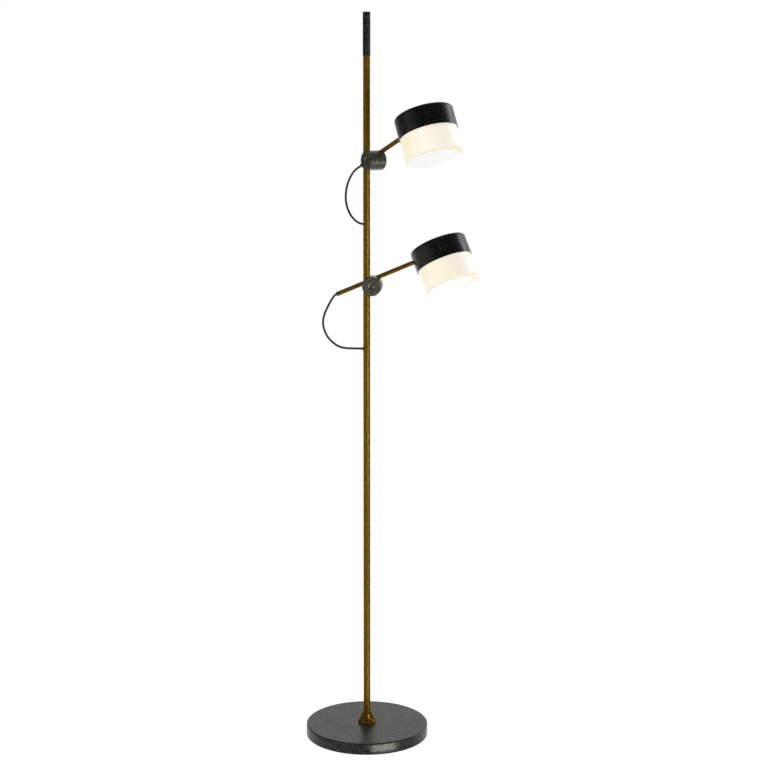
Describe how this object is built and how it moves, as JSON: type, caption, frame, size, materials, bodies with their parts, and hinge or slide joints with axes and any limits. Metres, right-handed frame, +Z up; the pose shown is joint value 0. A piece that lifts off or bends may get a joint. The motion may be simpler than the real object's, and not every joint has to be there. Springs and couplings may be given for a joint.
{
  "type": "floor lamp",
  "caption": "Floor lamp: round weighted base, slim pole and drum-shaped opal heads on arms whose cross joints slide, swivel, tilt, twist and reach.",
  "frame": {"origin": "on the floor under the pole's axis, at the felt pad's lower face", "axes": "+Z up along the pole, +X to the picture's right, where the lower arm points, +Y away from the viewer"},
  "size_m": [0.3784, 0.351, 1.6],
  "materials": {
    "base_paint": "fine textured satin",
    "felt": "matt felt",
    "zinc_plate": "zinc plated",
    "black_rubber": "matt",
    "bronze_collar": "satin",
    "bronze_pole": "satin, slightly darkened",
    "bronze_tube": "satin, slightly darkened",
    "black_grip": "satin",
    "nylon": "plain",
    "joint_metal": "graphite satin",
    "screw_metal": "satin",
    "black_cap": "satin black",
    "raw_aluminium": "as cast",
    "white_plastic": "gloss",
    "lamp_body": "opal",
    "opal": "opal, lit from inside",
    "spring_steel": "bright",
    "cord_jacket": "matt"
  },
  "bodies": {
    "stand": {"base_disc": "base_paint", "base_pad": "felt", "base_stud": "zinc_plate", "base_washer": "zinc_plate", "base_nut": "zinc_plate", "lead_inlet_bush": "black_rubber", "foot_collar": "bronze_collar", "pole": "bronze_pole", "pole_foot_plug": "zinc_plate", "top_grip": "black_grip", "upper_pole_cord_bush": "black_rubber", "lower_pole_cord_bush": "black_rubber", "upper_cord": "cord_jacket", "lower_cord": "cord_jacket"},
    "upper_slider": {"upper_pole_bush": "nylon"},
    "upper_swivel_half": {"upper_pole_clamp": "joint_metal", "upper_joint_screw": "screw_metal", "upper_friction_disc": "nylon", "upper_joint_nut": "screw_metal"},
    "upper_tilt_half": {"upper_arm_clamp": "joint_metal", "upper_arm_bush": "nylon"},
    "upper_arm": {"upper_arm_tube": "bronze_tube", "upper_arm_end_bush": "black_rubber"},
    "upper_head": {"upper_cap": "black_cap", "upper_arm_saddle": "raw_aluminium", "upper_grub_screw": "screw_metal", "upper_mounting_plate": "zinc_plate", "upper_plate_nuts": "zinc_plate", "upper_lampholder": "white_plastic", "upper_holder_screws": "zinc_plate", "upper_disc_lamp": "lamp_body", "upper_diffuser": "opal", "upper_diffuser_clips": "spring_steel"},
    "lower_slider": {"lower_pole_bush": "nylon"},
    "lower_swivel_half": {"lower_pole_clamp": "joint_metal", "lower_joint_screw": "screw_metal", "lower_friction_disc": "nylon", "lower_joint_nut": "screw_metal"},
    "lower_tilt_half": {"lower_arm_clamp": "joint_metal", "lower_arm_bush": "nylon"},
    "lower_arm": {"lower_arm_tube": "bronze_tube", "lower_arm_end_bush": "black_rubber"},
    "lower_head": {"lower_cap": "black_cap", "lower_arm_saddle": "raw_aluminium", "lower_grub_screw": "screw_metal", "lower_mounting_plate": "zinc_plate", "lower_plate_nuts": "zinc_plate", "lower_lampholder": "white_plastic", "lower_holder_screws": "zinc_plate", "lower_disc_lamp": "lamp_body", "lower_diffuser": "opal", "lower_diffuser_clips": "spring_steel"}
  },
  "joints": [
    {"name": "upper_height", "type": "slide", "parent": "stand", "child": "upper_slider", "axis": [0, 0, 1], "range_m": [-0.025, 0.02], "deforming": ["upper_cord"]},
    {"name": "upper_swivel", "type": "hinge", "parent": "upper_slider", "child": "upper_swivel_half", "pos_m": [0, 0, 1.288], "axis": [0, 0, 1], "range_deg": [-60, 60], "deforming": ["upper_cord"]},
    {"name": "upper_tilt", "type": "hinge", "parent": "upper_swivel_half", "child": "upper_tilt_half", "pos_m": [0.00675, -0.00943, 1.288], "axis": [-0.8131, -0.5821, 0], "range_deg": [-30, 30], "deforming": ["upper_cord"]},
    {"name": "upper_reach", "type": "slide", "parent": "upper_tilt_half", "child": "upper_arm", "axis": [0.5334, -0.7451, 0.4003], "range_m": [-0.015, 0.02], "deforming": ["upper_cord"]},
    {"name": "upper_twist", "type": "hinge", "parent": "upper_arm", "child": "upper_head", "pos_m": [0.1209, -0.13142, 1.37346], "axis": [0.5334, -0.7451, 0.4003], "range_deg": [-60, 60]},
    {"name": "lower_height", "type": "slide", "parent": "stand", "child": "lower_slider", "axis": [0, 0, 1], "range_m": [-0.025, 0.02], "deforming": ["lower_cord"]},
    {"name": "lower_swivel", "type": "hinge", "parent": "lower_slider", "child": "lower_swivel_half", "pos_m": [0, 0, 1.017], "axis": [0, 0, 1], "range_deg": [-60, 60], "deforming": ["lower_cord"]},
    {"name": "lower_tilt", "type": "hinge", "parent": "lower_swivel_half", "child": "lower_tilt_half", "pos_m": [0.01153, -0.00127, 1.017], "axis": [-0.1097, -0.994, 0], "range_deg": [-30, 30], "deforming": ["lower_cord"]},
    {"name": "lower_reach", "type": "slide", "parent": "lower_tilt_half", "child": "lower_arm", "axis": [0.9149, -0.101, 0.3907], "range_m": [-0.015, 0.02], "deforming": ["lower_cord"]},
    {"name": "lower_twist", "type": "hinge", "parent": "lower_arm", "child": "lower_head", "pos_m": [0.15886, 0.00439, 1.09193], "axis": [0.9149, -0.101, 0.3907], "range_deg": [-60, 60]}
  ]
}
